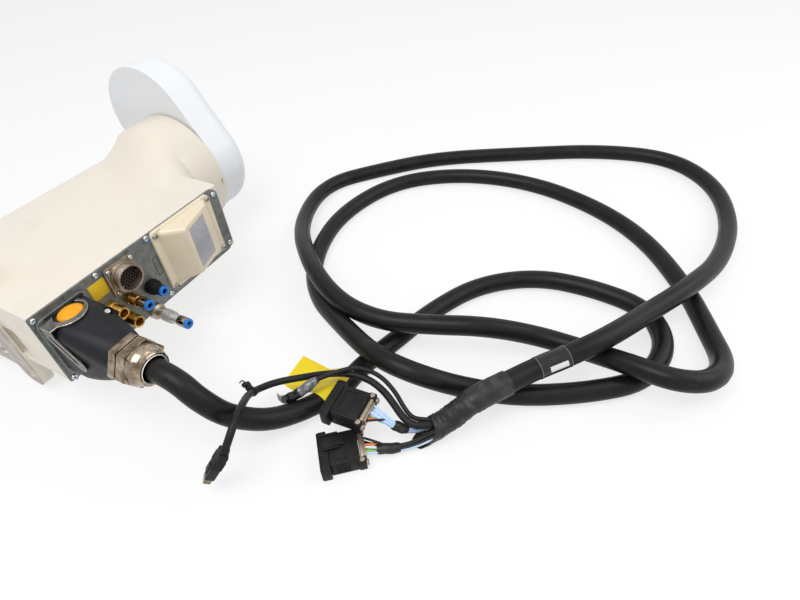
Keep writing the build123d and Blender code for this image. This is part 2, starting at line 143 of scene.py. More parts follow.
def surface(name, given):
    look = {**plainLook, **given}
    made = bpy.data.materials.new(name)
    made.use_nodes = True
    tree = made.node_tree
    shader = tree.nodes["Principled BSDF"]
    place = addNode(tree, "ShaderNodeTexCoord")
    finish = useGroup(tree, finishGroup, {
        "Colour": rgba(look["colours"][0]), "Second Colour": rgba(look["colours"][-1]),
        "Patch Scale": look["patch"], "Grain Scale": look["grain"],
        "Rough Low": look["rough"][0], "Rough High": look["rough"][1],
    })
    bump = addNode(tree, "ShaderNodeBump", {"Strength": look["bump"], "Distance": look["bumpDepth"]})
    joinAll(tree, [(place, "Object", finish, "Place"), (finish, "Roughness", shader, "Roughness"),
                   (finish, "Height", bump, "Height"), (bump, "Normal", shader, "Normal")])
    last = finish
    # Marks and sheen: real dust and marks on most finishes, painted reflections on the nickel, painted highlights
    # on the shrink sleeve
    if "marksAndSheen" in look:
        colour, scale, threshold, amount = look["marksAndSheen"]
        last = useGroup(tree, dustAndSheenGroup, {"Mark And Sheen Colour": rgba(colour), "Mark And Sheen Scale": scale,
                                           "Threshold": threshold, "Amount": amount})
        joinAll(tree, [(place, "Object", last, "Place"), (finish, "Colour", last, "Colour")])
    if len(look["colours"]) > 1:
        joinAll(tree, [(last, "Colour", shader, "Base Color")])
    else:
        shader.inputs["Base Color"].default_value = rgba(look["colours"][0])
    for socket, key in (("Metallic", "metal"), ("Specular IOR Level", "specular"), ("Coat Weight", "coat"),
                        ("Coat Roughness", "coatRough")):
        shader.inputs[socket].default_value = look[key]
    return made


# One plain colour or two in patches; marks and sheen are their colour, scale, threshold and amount: real marks on
# most rows, painted reflection on the nickel row and painted highlight on the shrink sleeve row
finishes = {
    "cream_paint": {"colours": ((0.76, 0.69, 0.58), (0.755, 0.705, 0.62)), "patch": 9, "grain": 1300,
        "rough": (0.3, 0.42), "bump": 0.12, "marksAndSheen": ((0.62, 0.55, 0.45), 14, 0.58, 0.35)},
    "white_paint": {"colours": ((0.8, 0.81, 0.83), (0.77, 0.785, 0.81)), "patch": 9, "grain": 1300,
        "rough": (0.3, 0.42), "bump": 0.1},
    "zinc_plate": {"colours": ((0.155, 0.168, 0.158), (0.23, 0.242, 0.228)), "patch": 130, "grain": 2500,
        "rough": (0.38, 0.6), "bump": 0.2, "metal": 0.6, "marksAndSheen": ((0.62, 0.62, 0.58), 260, 0.6, 0.5)},
    "zinc_shell": {"colours": ((0.46, 0.39, 0.31), (0.22, 0.175, 0.13)), "patch": 70, "grain": 1800,
        "rough": (0.25, 0.5), "bump": 0.15, "metal": 0.9},
    "steel": {"colours": ((0.72, 0.72, 0.7), (0.5, 0.5, 0.49)), "patch": 200, "rough": (0.15, 0.3), "metal": 1.0},
    "cream_plastic": {"colours": ((0.77, 0.665, 0.5), (0.75, 0.645, 0.48)), "patch": 18, "grain": 1500,
        "rough": (0.26, 0.36), "bump": 0.06, "marksAndSheen": ((0.55, 0.47, 0.36), 40, 0.62, 0.3)},
    "charcoal_plastic": {"colours": ((0.012, 0.013, 0.015), (0.018, 0.0185, 0.021)), "patch": 40, "grain": 2200,
        "rough": (0.34, 0.48), "bump": 0.2, "specular": 0.16, "marksAndSheen": ((0.07, 0.065, 0.06), 60, 0.62, 0.3)},
    "orange_plastic": {"colours": ((0.8, 0.33, 0.006), (0.84, 0.38, 0.01)), "patch": 120, "grain": 1600,
        "rough": (0.35, 0.5), "bump": 0.15, "specular": 0.3, "marksAndSheen": ((0.3, 0.12, 0.01), 300, 0.64, 0.8)},
    # Nickel: the dark brown second colour and the near-black streaks are painted reflections on the bright metal
    "nickel": {"colours": ((0.56, 0.46, 0.35), (0.17, 0.125, 0.085)), "patch": 60,
        "rough": (0.06, 0.16), "bump": 0.08, "metal": 1.0, "marksAndSheen": ((0.02, 0.013, 0.008), 75, 0.44, 1.0)},
    "white_rubber": {"colours": ((0.72, 0.71, 0.67),), "rough": (0.5, 0.6)},
    "black_rubber": {"colours": ((0.02, 0.02, 0.02),), "rough": (0.5, 0.65), "specular": 0.3},
    "black_plastic": {"colours": ((0.01, 0.0095, 0.0095), (0.016, 0.015, 0.0145)), "patch": 60, "grain": 2600,
        "rough": (0.4, 0.55), "bump": 0.25, "specular": 0.15, "marksAndSheen": ((0.06, 0.052, 0.045), 90, 0.6, 0.35)},
    "blue_plastic": {"colours": ((0.006, 0.17, 0.6), (0.008, 0.2, 0.66)), "patch": 80, "rough": (0.3, 0.42)},
    "brass": {"colours": ((0.74, 0.5, 0.15), (0.36, 0.22, 0.06)), "patch": 100, "grain": 1200,
        "rough": (0.16, 0.34), "bump": 0.1, "metal": 1.0},
    "cable_jacket": {"colours": ((0.0075, 0.007, 0.0066), (0.012, 0.011, 0.0105)), "patch": 35, "grain": 1500,
        "rough": (0.28, 0.42), "bump": 0.15, "specular": 0.18, "marksAndSheen": ((0.075, 0.066, 0.056), 45, 0.58, 0.35)},
    # Shrink sleeve: the pale grey marks are painted highlights on the black sleeve
    "shrink_sleeve": {"colours": ((0.011, 0.0105, 0.01), (0.019, 0.0175, 0.016)), "patch": 60, "grain": 1500,
        "rough": (0.32, 0.5), "bump": 0.3, "specular": 0.34, "marksAndSheen": ((0.13, 0.124, 0.117), 90, 0.5, 0.6)},
    "lead_jacket": {"colours": ((0.009, 0.009, 0.0095), (0.014, 0.014, 0.0145)), "patch": 90, "grain": 2500,
        "rough": (0.35, 0.5), "bump": 0.3, "specular": 0.2},
    "wires": {"colours": ((0.47, 0.66, 0.94), (0.52, 0.7, 0.95)), "patch": 60, "rough": (0.3, 0.4)},
    "yellow_label": {"colours": ((0.88, 0.66, 0.004), (0.9, 0.69, 0.006)), "patch": 30, "rough": (0.35, 0.5)},
}
extraFinishes = {
    "agedSteel": {"colours": ((0.56, 0.52, 0.46), (0.3, 0.27, 0.23)), "patch": 180, "rough": (0.3, 0.5),
        "metal": 0.7},
    "bluePaint": {"colours": ((0.006, 0.19, 0.52), (0.012, 0.26, 0.62)), "patch": 300, "rough": (0.3, 0.45)},
    "silverLabel": {"colours": ((0.47, 0.47, 0.5), (0.42, 0.42, 0.45)), "patch": 200, "grain": 3000,
        "rough": (0.4, 0.55), "metal": 0.5},
    "amberSticker": {"colours": ((0.86, 0.55, 0.01), (0.8, 0.5, 0.008)), "patch": 60, "rough": (0.35, 0.5)},
    "glossyBlack": {"colours": ((0.006, 0.006, 0.006), (0.01, 0.009, 0.009)), "patch": 90, "rough": (0.16, 0.3),
        "specular": 0.3, "coat": 0.3, "coatRough": 0.12},
    # Black tape whose silver-grey patches are painted reflections
    "blackTapePaintedReflections": {"colours": ((0.01, 0.01, 0.011), (0.26, 0.27, 0.29)), "patch": 150, "rough": (0.1, 0.22),
        "coat": 0.5, "coatRough": 0.08},
    "clearEdge": {"colours": ((0.16, 0.16, 0.165),), "rough": (0.2, 0.3)},
    # Darker and duller than any black part: painted shade inside the gland and in the hood screw's recess
    "paintedShadeBlack": {"colours": ((0.004, 0.004, 0.004),), "rough": (0.6, 0.7), "specular": 0.1},
    "champagne": {"colours": ((0.5, 0.44, 0.34), (0.34, 0.29, 0.21)), "patch": 80, "rough": (0.3, 0.45),
        "metal": 0.85},
    "silverBarrel": {"colours": ((0.62, 0.6, 0.58), (0.46, 0.44, 0.42)), "patch": 160, "grain": 2600,
        "rough": (0.35, 0.5), "bump": 0.3, "metal": 0.7},
    "whiteLabel": {"colours": ((0.72, 0.72, 0.7),), "rough": (0.4, 0.5)},
    "greenWire": {"colours": ((0.06, 0.36, 0.1),), "rough": (0.3, 0.4)},
    "limeWire": {"colours": ((0.5, 0.56, 0.16),), "rough": (0.3, 0.4)},
    "orangeWire": {"colours": ((0.8, 0.2, 0.03),), "rough": (0.3, 0.4)},
    "blackWire": {"colours": ((0.012, 0.012, 0.012),), "rough": (0.3, 0.4), "specular": 0.3},
    "clampMetal": {"colours": ((0.4, 0.33, 0.26), (0.3, 0.24, 0.18)), "patch": 120, "rough": (0.3, 0.45),
        "metal": 0.75},
    "leverMetal": {"colours": ((0.085, 0.082, 0.078), (0.18, 0.17, 0.155)), "patch": 120, "grain": 2000,
        "rough": (0.25, 0.4), "metal": 0.7},
    # Bright metal on the lever's bevel faces: painted highlight along its edges
    "leverEdgeHighlight": {"colours": ((0.62, 0.59, 0.53), (0.3, 0.28, 0.25)), "patch": 260, "rough": (0.15, 0.3),
        "metal": 1.0},
}
material = {name: surface(name, look) for name, look in {**finishes, **extraFinishes}.items()}

machinedFace = {"depth": 0.0004, "fade": 0.0002, "colours": ((0.30, 0.25, 0.21), (0.52, 0.46, 0.40)), "patch": 60,
                "rough": (0.3, 0.5), "metal": 0.8}


# The mounting face is bare machined metal, and the paint stops at its edge
def bareTheMountingFace(made, look):
    tree = made.node_tree
    shader = tree.nodes["Principled BSDF"]
    place = addNode(tree, "ShaderNodeTexCoord")
    split = addNode(tree, "ShaderNodeSeparateXYZ")
    bare = addNode(tree, "ShaderNodeMapRange", {"From Min": look["depth"], "From Max": look["depth"] + look["fade"],
                                                "To Min": 1.0, "To Max": 0.0})
    finish = useGroup(tree, finishGroup, {
        "Colour": rgba(look["colours"][0]), "Second Colour": rgba(look["colours"][1]),
        "Patch Scale": look["patch"], "Rough Low": look["rough"][0], "Rough High": look["rough"][1]})
    colour = addNode(tree, "ShaderNodeMix", data_type="RGBA")
    metal = addNode(tree, "ShaderNodeMath", {1: look["metal"]}, operation="MULTIPLY")
    tree.links.new(shader.inputs["Base Color"].links[0].from_socket, colour.inputs[6])
    joinAll(tree, [
        (place, "Object", split, "Vector"), (place, "Object", finish, "Place"), (split, "Y", bare, "Value"),
        (bare, "Result", colour, "Factor"), (finish, "Colour", colour, 7), (colour, 2, shader, "Base Color"),
        (bare, "Result", metal, 0), (metal, "Value", shader, "Metallic"),
    ])


bareTheMountingFace(material["cream_paint"], machinedFace)

lookOf = {"air_tee": "champagne", "exhaust_silencer": "silverBarrel", "locking_lever": "leverMetal",
          "battery_box_screws": "agedSteel", "plug_clamp_1": "clampMetal", "plug_clamp_2": "clampMetal"}
for name, node in nodes.items():
    node.data.materials.clear()
    node.data.materials.append(material[lookOf.get(name, slotOf[name])])
print("finishes set on the packed pieces")


# Helpers for shapes. Blocks, turned pieces and routes are given in millimetres

sharpFrom = math.radians(35)  # edges steeper than this stay sharp
upright = Matrix.Rotation(-math.pi / 2, 4, "Y")  # stands a turned piece on end


def mm(x, y, z):
    return Vector((x, y, z)) / 1000


def placeAt(x, y, z):
    return Matrix.Translation(mm(x, y, z))


def metres(points):
    return [tuple(value / 1000 for value in point) for point in points]


def evaluatedMesh(made):
    bpy.context.view_layer.update()
    return bpy.data.meshes.new_from_object(made.evaluated_get(bpy.context.evaluated_depsgraph_get()))


def linked(name, data):
    made = bpy.data.objects.new(name, data)
    bpy.context.scene.collection.objects.link(made)
    return made


def declare(made, body="base", replaced=()):
    if replaced:
        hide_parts(*replaced)
    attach(made, body)
    return made


def meshFrom(bm, name, look):
    bmesh.ops.recalc_face_normals(bm, faces=bm.faces)
    mesh = bpy.data.meshes.new(name)
    bm.to_mesh(mesh)
    bm.free()
    mesh.shade_smooth()
    mesh.set_sharp_from_angle(angle=sharpFrom)
    mesh.materials.append(material[look])
    return mesh


def pieceFrom(bm, name, slot, look=None, body="base", replaced=()):
    return declare(linked(name, meshFrom(bm, name, look or slot)), body, replaced)


def block(bm, size, place, soft):
    made = bmesh.ops.create_cube(bm, size=1, matrix=place @ Matrix.Diagonal((*mm(*size), 1)))
    edges = list({edge for vert in made["verts"] for edge in vert.link_edges})
    bmesh.ops.bevel(bm, geom=edges, offset=soft / 1000, segments=2, profile=0.5, affect="EDGES")


# Faces between rings of equal count
def bridge(bm, rings):
    for first, second in zip(rings, rings[1:]):
        for step in range(len(first)):
            after = (step + 1) % len(first)
            bm.faces.new((first[step], first[after], second[after], second[step]))


# A thin sheet from rows of points in pairs, underside and top
def closeSheet(bm, rows):
    last = len(rows[0]) - 1
    for first, second in zip(rows, rows[1:]):
        for step in range(last):
            for level in (0, 1):
                bm.faces.new((first[step][level], first[step + 1][level], second[step + 1][level],
                              second[step][level]))
        for step in (0, last):
            bm.faces.new((*first[step], *reversed(second[step])))
    for row in (rows[0], rows[-1]):
        for step in range(last):
            bm.faces.new((*row[step], *reversed(row[step + 1])))


# A turned piece about the place's own X axis. A radius in a tuple is a hexagon's half width
def lathe(bm, profile, place, steps=32):
    rings = []
    for along, radius in profile:
        ring = []
        for step in range(steps):
            angle = math.tau * step / steps
            reach = radius
            if isinstance(radius, tuple):
                reach = radius[0] / math.cos(angle % (math.pi / 3) - math.pi / 6)
            ring.append(bm.verts.new(place @ mm(along, reach * math.cos(angle), reach * math.sin(angle))))
            if radius == 0:
                break
        rings.append(ring)
    for first, second in zip(rings, rings[1:]):
        for step in range(steps):
            corners = []
            for ring, index in ((first, step), (first, step + 1), (second, step + 1), (second, step)):
                corner = ring[index % len(ring)]
                if corner not in corners:
                    corners.append(corner)
            if len(corners) > 2:
                bm.faces.new(corners)


# A profile given in parts of a height and a radius
def sizedProfile(look):
    return [(look["height"] * along, look["radius"] * out) for along, out in look["profile"]]


# The same, and then down into a hexagon socket
def headProfile(look):
    height, socket = look["height"], look["socket"]
    foot = height * look["socketFoot"]
    return sizedProfile(look) + [(height, (socket,)), (foot, (socket,)), (foot, 0)]


def splineCurve(name, route, steps):
    curve = bpy.data.curves.new(name, "CURVE")
    curve.dimensions = "3D"
    curve.resolution_u = steps
    spline = curve.splines.new("NURBS")
    spline.points.add(len(route) - 1)
    for point, place in zip(spline.points, route):
        point.co = (*place, 1)
    spline.order_u = 3
    spline.use_endpoint_u = True
    return linked(name, curve)


def cord(name, route, radius, steps, slot, look=None, replaced=()):
    made = splineCurve(name, route, steps)
    made.data.bevel_depth = radius
    made.data.bevel_resolution = 6
    made.data.use_fill_caps = True
    made.data.materials.append(material[look or slot])
    return declare(made, replaced=replaced)


# Points along a route's own spline
def linePoints(route):
    made = splineCurve("line", route, 16)
    points = [vert.co.copy() for vert in evaluatedMesh(made).vertices]
    bpy.data.objects.remove(made)
    return points


def lengthOf(points):
    return sum((second - first).length for first, second in zip(points, points[1:]))


def pointAt(points, distance):
    for first, second in zip(points, points[1:]):
        step = (second - first).length
        if distance <= step and step > 0:
            return first.lerp(second, distance / step)
        distance -= step
    return points[-1].copy()


def evenPoints(points, start, end, count):
    return [pointAt(points, start + (end - start) * index / (count - 1)) for index in range(count)]


# Steady frames along a line: place, direction, side and up
def framesAlong(points):
    frames = []
    for index, point in enumerate(points):
        ahead = points[min(index + 1, len(points) - 1)] - points[max(index - 1, 0)]
        ahead.normalize()
        side = ahead.cross(Vector((0, 0, 1))).normalized()
        frames.append((point, ahead, side, side.cross(ahead)))
    return frames


def framesOn(points, start, end, count):
    return framesAlong(evenPoints(points, start, end, count))


# A tube with a radius that changes along it and round it; reach slides a ring's points along the line
def shapedTube(bm, frames, radiusAt, steps=32, reachAt=None, closed=(True, True)):
    rings = []
    for index, (point, ahead, side, up) in enumerate(frames):
        part = index / (len(frames) - 1)
        ring = []
        for step in range(steps):
            angle = math.tau * step / steps
            out = side * math.cos(angle) + up * math.sin(angle)
            slide = reachAt(part, angle) if reachAt else 0.0
            ring.append(bm.verts.new(point + out * radiusAt(part, angle) + ahead * slide))
        rings.append(ring)
    bridge(bm, rings)
    if closed[0]:
        bm.faces.new(list(reversed(rings[0])))
    if closed[1]:
        bm.faces.new(rings[-1])
    return rings


# A copy of a imported piece with its flat faces merged and its edges softened; a second finish, if given, goes on
# the bevel faces as a painted highlight
def softened(name, width, segments, highlightEdgeLook=None):
    bm = bmesh.new()
    bm.from_mesh(nodes[name].data)
    bmesh.ops.remove_doubles(bm, verts=bm.verts, dist=2e-6)
    bmesh.ops.dissolve_limit(bm, angle_limit=math.radians(0.6), verts=bm.verts, edges=bm.edges)
    mesh = bpy.data.meshes.new(name + "Soft")
    bm.to_mesh(mesh)
    bm.free()
    mesh.materials.clear()
    for look in (lookOf.get(name, slotOf[name]), highlightEdgeLook):
        if look:
            mesh.materials.append(material[look])
    made = linked(name + "Soft", mesh)
    bevel = made.modifiers.new("edges", "BEVEL")
    bevel.width = width
    bevel.segments = segments
    bevel.limit_method = "ANGLE"
    bevel.angle_limit = math.radians(30)
    if highlightEdgeLook:
        bevel.material = 1
    made.data = evaluatedMesh(made)
    made.modifiers.clear()
    made.data.shade_smooth()
    made.data.set_sharp_from_angle(angle=sharpFrom)
    return declare(made, bodyOf[name], (name,))


# Geometry nodes: one small piece on each given point, rolled at random about its own X axis
def makeRepeatTree():
    tree, given, result = newGroup("repeatOnPoints", [
        ("Points", "Geometry", None), ("Piece", "Object", None), ("Material", "Material", None),
        ("Roll", "Float", None), ("Smallest", "Float", None), ("Largest", "Float", None),
    ], [("Geometry", "Geometry")], "GeometryNodeTree")
    spread = addNode(tree, "GeometryNodeInstanceOnPoints")
    info = addNode(tree, "GeometryNodeObjectInfo")
    roll = addNode(tree, "FunctionNodeRandomValue", {"Seed": 4}, data_type="FLOAT")
    size = addNode(tree, "FunctionNodeRandomValue", {"Seed": 9}, data_type="FLOAT")
    turn = addNode(tree, "ShaderNodeCombineXYZ")
    solid = addNode(tree, "GeometryNodeRealizeInstances")
    paint = addNode(tree, "GeometryNodeSetMaterial")
    joinAll(tree, [
        (given, "Points", spread, "Points"), (given, "Piece", info, "Object"),
        (info, "Geometry", spread, "Instance"), (given, "Roll", roll, 3), (given, "Smallest", size, 2),
        (given, "Largest", size, 3), (roll, 1, turn, "X"), (turn, "Vector", spread, "Rotation"),
        (size, 1, spread, "Scale"), (spread, "Instances", solid, "Geometry"),
        (solid, "Geometry", paint, "Geometry"), (given, "Material", paint, "Material"),
        (paint, "Geometry", result, "Geometry"),
    ])
    return tree


repeatTree = makeRepeatTree()


def repeated(name, bm, points, slot, look=None, sizes=(1.0, 1.0), replaced=()):
    piece = linked(name + "Piece", meshFrom(bm, name + "Piece", look or slot))
    mesh = bpy.data.meshes.new(name)
    mesh.from_pydata(points, [], [])
    made = linked(name, mesh)
    modifier = made.modifiers.new("repeat", "NODES")
    modifier.node_group = repeatTree
    values = {"Piece": piece, "Material": material[look or slot], "Roll": math.tau,
              "Smallest": sizes[0], "Largest": sizes[1]}
    for item in repeatTree.interface.items_tree:
        if item.in_out == "INPUT" and item.name in values:
            modifier[item.identifier] = values[item.name]
    made.data = evaluatedMesh(made)
    made.modifiers.clear()
    bpy.data.objects.remove(piece)
    declare(made, replaced=replaced)


# Housing, panel and fittings with softened edges
softEdges = {
    "base_casting": (0.0012, 2), "connector_panel": (0.0003, 1), "plug_frame": (0.0005, 2),
    "plug_hood": (0.0022, 3), "gland_body": (0.0014, 3), "gland_nut": (0.0014, 3), "air_sockets": (0.0006, 2),
    "push_in_stem": (0.0006, 2), "push_in_body": (0.0005, 2), "push_in_collar": (0.0006, 2),
    "black_push_in_collar": (0.0006, 2), "silencer_collar": (0.0006, 2), "silencer_push_in": (0.0005, 2),
    "signal_connector_shell": (0.0003, 2),
}
for name, (width, segments) in softEdges.items():
    softened(name, width, segments)
# The lever's bevels take the bright metal: painted highlight on its edges
softened("locking_lever", 0.0005, 2, "leverEdgeHighlight")
print("edges softened")


# Screws with their sockets, where they stand on the panel (y, z) and how far off it
screwHead = {"profile": ((0, 0), (0, 1), (0.6, 1), (0.85, 0.9), (1, 0.72)), "socketFoot": 0.45}
connector = {"middle": (105, 23), "halfPitch": 14.7}
panelScrewPlaces = [(7, 41.5), (79, 42), (147, 42.5), (252.5, 38), (253.5, -36), (147, -39), (7, -41.5)]
screws = {
    "panelScrewHeads": {"replaces": "panel_screws", "look": "steel", "radius": 3.2, "height": 2.4, "socket": 1.4,
                        "foot": 0, "places": panelScrewPlaces},
    "boxScrewHeads": {"replaces": "battery_box_screws", "look": "agedSteel", "radius": 3.3, "height": 3.0,
                      "socket": 1.7, "foot": 0.004, "places": [(156, 40.5), (239, 40.5), (239, -33), (156, -33)]},
    "connectorScrewHeads": {
        "replaces": "signal_connector_screws", "look": "steel", "radius": 2.6, "height": 2.2, "socket": 1.1,
        "foot": 0.003, "places": [(connector["middle"][0] + y * connector["halfPitch"],
                                   connector["middle"][1] + z * connector["halfPitch"])
                                  for y in (-1, 1) for z in (-1, 1)]},
}


def onPanel(places, height):
    return [Vector((panelX + height, y / 1000, z / 1000)) for y, z in places]


def makeScrews(name, look):
    bm = bmesh.new()
    lathe(bm, headProfile({**screwHead, **look}), Matrix.Identity(4), 24)
    repeated(name, bm, onPanel(look["places"], look["foot"]), "steel", look["look"], replaced=(look["replaces"],))


for name, look in screws.items():
    makeScrews(name, look)


# Blue paint dabs that lap from each panel screw on to the panel
dabs = {"shift": (1.6, -3.6), "radius": 1.9, "height": 0.9, "stretch": 1.25, "foot": 0.0006, "sizes": (0.85, 1.2),
        "profile": ((-1, 0), (-0.7, 0.8), (0, 1), (0.5, 0.8), (0.9, 0.35), (1, 0))}


def makeDabs(look):
    bm = bmesh.new()
    lathe(bm, sizedProfile(look), Matrix.Identity(4), 14)
    for vert in bm.verts:
        vert.co.y *= look["stretch"]
    places = [(y + look["shift"][0], z + look["shift"][1]) for y, z in panelScrewPlaces]
    repeated("paintDabs", bm, onPanel(places, look["foot"]), "blue_plastic", "bluePaint", look["sizes"])


makeDabs(dabs)


# Pins of the signal connector, on a honeycomb, and its two keys: size, place and softness
pins = {"pitch": 3.6, "field": 11.5, "radius": 0.55, "height": 3.5, "foot": 0.006,
        "profile": ((0, 0), (0, 1), (0.8, 1), (1, 0))}
keys = (((8, 3, 2.2), (154, 105, 35.2), 0.3), ((8, 1.8, 1.6), (154, 94.5, 17.5), 0.2))


def makePins(look):
    bm = bmesh.new()
    lathe(bm, sizedProfile(look), Matrix.Identity(4), 8)
    places = []
    for row in range(-4, 5):
        for column in range(-4, 5):
            y = look["pitch"] * (column + 0.5 * (row % 2))
            z = look["pitch"] * row * math.sqrt(0.75)
            if math.hypot(y, z) < look["field"]:
                places.append((connector["middle"][0] + y, connector["middle"][1] + z))
    repeated("connectorPins", bm, onPanel(places, look["foot"]), "brass", "zinc_shell")


makePins(pins)
bm = bmesh.new()
for size, middle, soft in keys:
    block(bm, size, placeAt(*middle), soft)
pieceFrom(bm, "connectorKeys", "zinc_shell")
print("panel screws, paint dabs and connector pins made")


# The battery box cover: a rim with a wedge on it, whose top falls away towards the head.
# A ring is its outline, how far it grows, and how high it stands over the foot or the top
boxCover = {"rim": ((151.5, -37.5), (243.5, 45.5), 6), "base": ((160.2, -32.5), (236, 43.2), 7),
            "top": ((179, -23.5), (228, 41), 4.5), "rise": 175, "slope": 14 / 49, "foot": 151,
            "rings": (("rim", 0, -4), ("rim", 0, -1), ("rim", -0.7, -0.2), ("rim", -1.4, 0), ("base", 1.2, 0),
                      ("base", 0.2, 0.5), ("base", -0.4, 1.8), ("top", 1.5, -1.9), ("top", 0.7, -0.5),
                      ("top", -0.8, 0))}


# A rectangle with round corners
def outline(low, high, radius, grow, steps=6):
    points = []
    for corner in range(4):
        y = (high[0] - radius) if corner in (0, 3) else (low[0] + radius)
        z = (high[1] - radius) if corner in (0, 1) else (low[1] + radius)
        for step in range(steps + 1):
            angle = math.pi / 2 * (corner + step / steps)
            points.append((y + (radius + grow) * math.cos(angle), z + (radius + grow) * math.sin(angle)))
    return points


def makeBoxCover(look):
    bm = bmesh.new()
    rings = []
    for name, grow, level in look["rings"]:
        low, high, radius = look[name]
        ring = []
        for y, z in outline(low, high, radius, grow):
            start = look["rise"] - look["slope"] * (y - low[0]) if name == "top" else look["foot"]
            ring.append(bm.verts.new(mm(start + level, y, z)))
        rings.append(ring)
    bridge(bm, rings)
    bm.faces.new(rings[0])
    bm.faces.new(rings[-1])
    pieceFrom(bm, "boxCover", "cream_plastic", replaced=("battery_box_cover",))


makeBoxCover(boxCover)

# Bare labels, and the fine frame beside the box: two lines up and two across
labels = {
    "boxLabel": {"middle": (168.98, 200.6, 9.8), "size": (0.5, 32.5, 54.5), "turn": math.atan(boxCover["slope"]),
                 "slot": "steel", "look": "silverLabel"},
    "panelSticker": {"middle": (147.15, 75.2, 25.3), "size": (0.3, 19.5, 20), "turn": 0,
                     "slot": "yellow_label", "look": "amberSticker"},
}
plateFrame = {"low": (143.6, -8), "high": (150.6, 16), "line": 0.5, "thick": 0.2, "at": 147.1, "soft": 0.05}


def makePlateFrame(look):
    (lowY, lowZ), (highY, highZ) = look["low"], look["high"]
    line = look["line"]
    bars = [((line, highZ - lowZ + line), (y, (lowZ + highZ) / 2)) for y in (lowY, highY)]
    bars += [((highY - lowY, line), ((lowY + highY) / 2, z)) for z in (lowZ, highZ)]
    bm = bmesh.new()
    for size, middle in bars:
        block(bm, (look["thick"], *size), placeAt(look["at"], *middle), look["soft"])
    pieceFrom(bm, "plateFrame", "black_plastic")


for name, label in labels.items():
    bm = bmesh.new()
    block(bm, label["size"], placeAt(*label["middle"]) @ Matrix.Rotation(label["turn"], 4, "Z"), 0.1)
    pieceFrom(bm, name, label["slot"], label["look"])
makePlateFrame(plateFrame)


# The orange button's dome
button = {"middle": (164.2, 33.5, 31), "reach": (11.6, 13.4), "rise": 9.6, "skirt": 5.0}


def makeButton(look):
    bm = bmesh.new()
    skirt, rise = look["skirt"], look["rise"]
    profile = [(0, 0), (0, 1), (skirt, 1)]
    for step in range(1, 9):
        angle = math.pi / 2 * step / 8
        profile.append((skirt + (rise - skirt) * math.sin(angle), math.cos(angle) if step < 8 else 0))
    scale = Matrix.Diagonal((*look["reach"], 1, 1))
    lathe(bm, profile, placeAt(*look["middle"]) @ scale @ upright, 40)
    pieceFrom(bm, "buttonDome", "orange_plastic", body="button", replaced=("release_button",))


makeButton(button)


# Parts of the hood: a rim beside the button, the collar at the gland and a screw in its recess, the recess painted
# near-black as shade
hood = {"rim": ((4.2, 42, 3.4), (152.3, 36, 37.6), 1.2), "axis": (0, 34, 0), "screw": (191, 53, 31.4), "tilt": -72,
        "collar": ((214, 0), (214, 20.5), (219.5, 22.6), (224.5, 22.6), (226.2, 21.5), (226.2, 0)),
        "recess": ((-3, 0), (-3, 5.6), (0.9, 5.4), (1.2, 4.8), (0.6, 4.0), (0.2, 3.6), (0.2, 0)),
        "head": ((0, 0), (0, 2.7), (1.2, 2.7), (1.7, 2.1), (1.7, (1.2,)), (0.6, (1.2,)), (0.6, 0))}


def makeHoodDetails(look):
    size, middle, soft = look["rim"]
    bm = bmesh.new()
    block(bm, size, placeAt(*middle), soft)
    lathe(bm, look["collar"], placeAt(*look["axis"]), 48)
    pieceFrom(bm, "hoodDetails", "charcoal_plastic")
    tilt = placeAt(*look["screw"]) @ Matrix.Rotation(math.radians(look["tilt"]), 4, "Y")
    bm = bmesh.new()
    lathe(bm, look["recess"], tilt, 28)
    pieceFrom(bm, "hoodScrewRecess", "black_rubber", "paintedShadeBlack")
    bm = bmesh.new()
    lathe(bm, look["head"], tilt, 24)
    pieceFrom(bm, "hoodScrew", "steel")


# The gland's end: a metal lip, then a thin pale ring that stands clear of the cable, and inside it a near-black
# disc of painted shade
glandEnd = {"lip": ((257.2, 15.2), (257.2, 18.2), (260.2, 17.6), (261.0, 16.6), (261.0, 15.2)),
            "ring": ((257.4, 13.6), (257.4, 15.1), (261.4, 15.1), (261.9, 14.6), (261.4, 14.2), (258.4, 13.6)),
            "inside": ((257.5, 0), (257.5, 13.7), (259, 13.7), (259, 0))}


def makeGlandEnd(look):
    axis = placeAt(*hood["axis"])
    for name, slot, part in (("glandLip", "nickel", "lip"), ("glandRing", "white_rubber", "ring")):
        bm = bmesh.new()
        lathe(bm, look[part] + look[part][:1], axis, 48)
        bmesh.ops.remove_doubles(bm, verts=bm.verts, dist=1e-6)
        pieceFrom(bm, name, slot, replaced=("gland_seal",))
    bm = bmesh.new()
    lathe(bm, look["inside"], axis, 40)
    pieceFrom(bm, "glandInside", "black_rubber", "paintedShadeBlack", replaced=("gland_seal",))


makeHoodDetails(hood)
makeGlandEnd(glandEnd)


# The bright bushes in the mounting face
bush = {"places": ((26, 3, -49), (-26, 3, -49)), "radius": 7.5, "height": 2.8, "socket": 3.5,
        "profile": ((0, 0), (0, 1), (0.7, 1), (1, 0.85)), "socketFoot": 0.2}


def makeBushes(look):
    bm = bmesh.new()
    inward = Matrix.Rotation(-math.pi / 2, 4, "Z")
    for spot in look["places"]:
        lathe(bm, headProfile(look), placeAt(*spot) @ inward, 36)
    pieceFrom(bm, "mountingFaceBushes", "steel")


makeBushes(bush)
print("labels, button, hood and mounting face details made")


# The black push-in fitting has a ribbed grip and a short barrel
grip = {"middle": (147, 128, -12), "ribs": 18, "radius": 0.0088, "rise": 0.0006, "length": 9, "swell": 0.06,
        "barrel": ((8, 0), (8, 7.8), (12, 7.4), (13.5, 6.6), (19.5, 6.6), (20, 6.0), (20, 3.4), (13, 3.4), (13, 0))}


